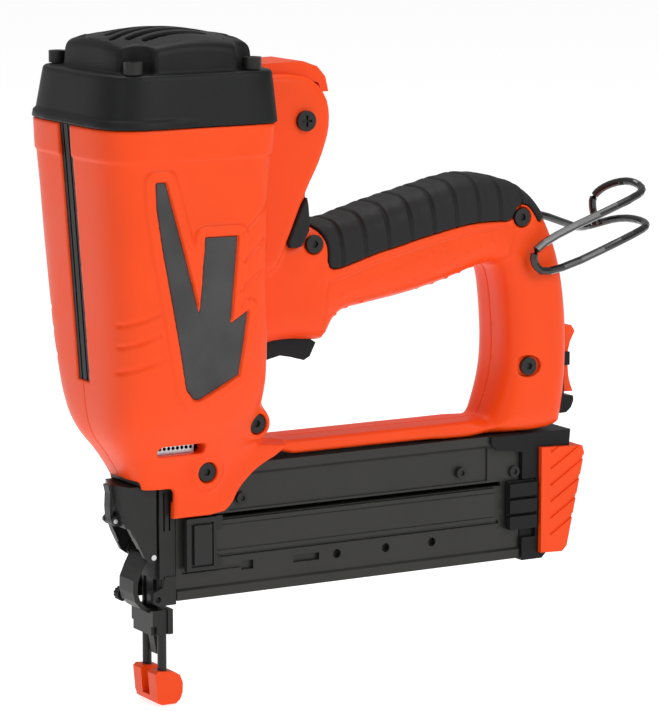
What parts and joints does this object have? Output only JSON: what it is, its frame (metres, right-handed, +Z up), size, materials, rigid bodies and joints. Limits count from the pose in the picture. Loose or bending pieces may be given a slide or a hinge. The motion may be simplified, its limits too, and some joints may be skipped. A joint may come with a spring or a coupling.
{
  "type": "cordless gas brad nailer",
  "caption": "Cordless gas nailer with orange housing, dark cap, D-shaped handle, straight magazine, battery in the rear post and a swinging wire hook.",
  "frame": {"origin": "centre of the nail exit hole on the no-mar tip's work face, on the drive axis", "axes": "+X to the rear along the magazine, +Z up along the drive axis to the cap, -Y is the tool's left side"},
  "size_m": [0.2882, 0.0926, 0.2926],
  "materials": {
    "orange_plastic": "satin",
    "charcoal_plastic": "satin",
    "black_rubber": "matte",
    "black_metal": "satin",
    "bright_steel": "ground",
    "black_gloss": "gloss",
    "grey_inlay": "fine grain",
    "aluminium": "machined",
    "black_anodised": "anodised",
    "foam": "open foam",
    "board_green": "lacquered",
    "cell_metal": "lacquered",
    "valve_blue": "gloss",
    "contact_brass": "plated",
    "wire_black": "gloss coat"
  },
  "bodies": {
    "tool": {"housing_near": "orange_plastic", "housing_far": "orange_plastic", "front_strip": "black_gloss", "inlay_near": "grey_inlay", "inlay_far": "grey_inlay", "vent_mesh": "bright_steel", "cap_cover": "charcoal_plastic", "cap_screws": "black_metal", "air_filter": "foam", "cylinder_head": "aluminium", "head_seal": "black_rubber", "fan_motor": "bright_steel", "spark_plug": "bright_steel", "sleeve_spring": "bright_steel", "cylinder_tube": "aluminium", "reed_band": "bright_steel", "bumper": "black_rubber", "nose_casting": "black_metal", "door_pin": "bright_steel", "mag_channel": "black_anodised", "mag_rail": "black_anodised", "brad_strip": "bright_steel", "mag_screws": "black_metal", "mag_end_cap": "charcoal_plastic", "end_bumper": "orange_plastic", "grip_rubber": "black_rubber", "neck_pads": "black_rubber", "trigger_pin": "bright_steel", "trigger_spring": "bright_steel", "trigger_switch": "charcoal_plastic", "circuit_board": "board_green", "door_screws": "black_metal", "fuel_cell": "cell_metal", "metering_valve": "valve_blue", "battery_bay": "charcoal_plastic", "battery_contacts": "contact_brass", "hook_bush": "bright_steel", "housing_screws": "black_metal"},
    "work_contact": {"probe": "black_metal", "linkage_yoke": "black_metal", "combustion_sleeve": "bright_steel"},
    "tip": {"no_mar_tip": "orange_plastic"},
    "drive": {"piston": "aluminium", "piston_ring": "bright_steel", "driver_blade": "bright_steel"},
    "fan": {"fan": "charcoal_plastic"},
    "trigger": {"trigger": "charcoal_plastic"},
    "fuel_door": {"fuel_door": "orange_plastic"},
    "nose_door": {"nose_door": "black_metal", "lever_pin": "bright_steel"},
    "jam_lever": {"jam_lever": "black_metal"},
    "depth_wheel": {"depth_wheel": "charcoal_plastic"},
    "follower": {"follower": "black_metal", "follower_spring": "bright_steel"},
    "mag_latch": {"mag_latch": "charcoal_plastic"},
    "battery": {"battery_pack": "charcoal_plastic"},
    "battery_latch": {"battery_latch": "orange_plastic"},
    "hook": {"hook_wire": "wire_black"}
  },
  "joints": [
    {"name": "work_contact_press", "type": "slide", "parent": "tool", "child": "work_contact", "axis": [0, 0, 1], "range_m": [0, 0.012], "stiffness_N_per_m": 900, "springref_m": -0.012, "deforming": ["sleeve_spring"]},
    {"name": "no_mar_tip_pull", "type": "slide", "parent": "work_contact", "child": "tip", "axis": [0, 0, -1], "range_m": [0, 0.02]},
    {"name": "piston_stroke", "type": "slide", "parent": "tool", "child": "drive", "axis": [0, 0, -1], "range_m": [0, 0.08]},
    {"name": "fan_spin", "type": "hinge", "parent": "tool", "child": "fan", "pos_m": [0, 0, 0.23], "axis": [0, 0, 1], "continuous": true},
    {"name": "trigger_pull", "type": "hinge", "parent": "tool", "child": "trigger", "pos_m": [0.053, 0, 0.158], "axis": [0, -1, 0], "range_deg": [0, 10], "stiffness_Nm_per_rad": 0.3, "springref_deg": -17.19, "deforming": ["trigger_spring"]},
    {"name": "fuel_door_open", "type": "hinge", "parent": "tool", "child": "fuel_door", "pos_m": [0.0615, 0, 0.251], "axis": [0, 1, 0], "range_deg": [0, 88]},
    {"name": "nose_door_open", "type": "hinge", "parent": "tool", "child": "nose_door", "pos_m": [-0.009, 0, 0.0662], "axis": [0, -1, 0], "range_deg": [0, 60]},
    {"name": "jam_lever_open", "type": "hinge", "parent": "nose_door", "child": "jam_lever", "pos_m": [-0.0231, 0, 0.082], "axis": [0, -1, 0], "range_deg": [0, 60]},
    {"name": "depth_wheel_turn", "type": "hinge", "parent": "work_contact", "child": "depth_wheel", "pos_m": [-0.0129, 0.0103, 0.0465], "axis": [0, 1, 0], "range_deg": [-180, 180]},
    {"name": "follower_slide", "type": "slide", "parent": "tool", "child": "follower", "axis": [1, 0, 0], "range_m": [0, 0.14], "stiffness_N_per_m": 12, "springref_m": -0.3},
    {"name": "magazine_latch_press", "type": "slide", "parent": "tool", "child": "mag_latch", "axis": [0, 0, -1], "range_m": [0, 0.004], "stiffness_N_per_m": 400, "springref_m": -0.004},
    {"name": "battery_slide", "type": "slide", "parent": "tool", "child": "battery", "axis": [1, 0, 0], "range_m": [0, 0.045]},
    {"name": "battery_latch_rock", "type": "hinge", "parent": "battery", "child": "battery_latch", "pos_m": [0.2029, 0, 0.135], "axis": [0, 1, 0], "range_deg": [-3, 3], "stiffness_Nm_per_rad": 0.2},
    {"name": "hook_swing", "type": "hinge", "parent": "tool", "child": "hook", "pos_m": [0.184, 0.003, 0.2005], "axis": [1, 0, 0], "range_deg": [-180, 0]}
  ]
}
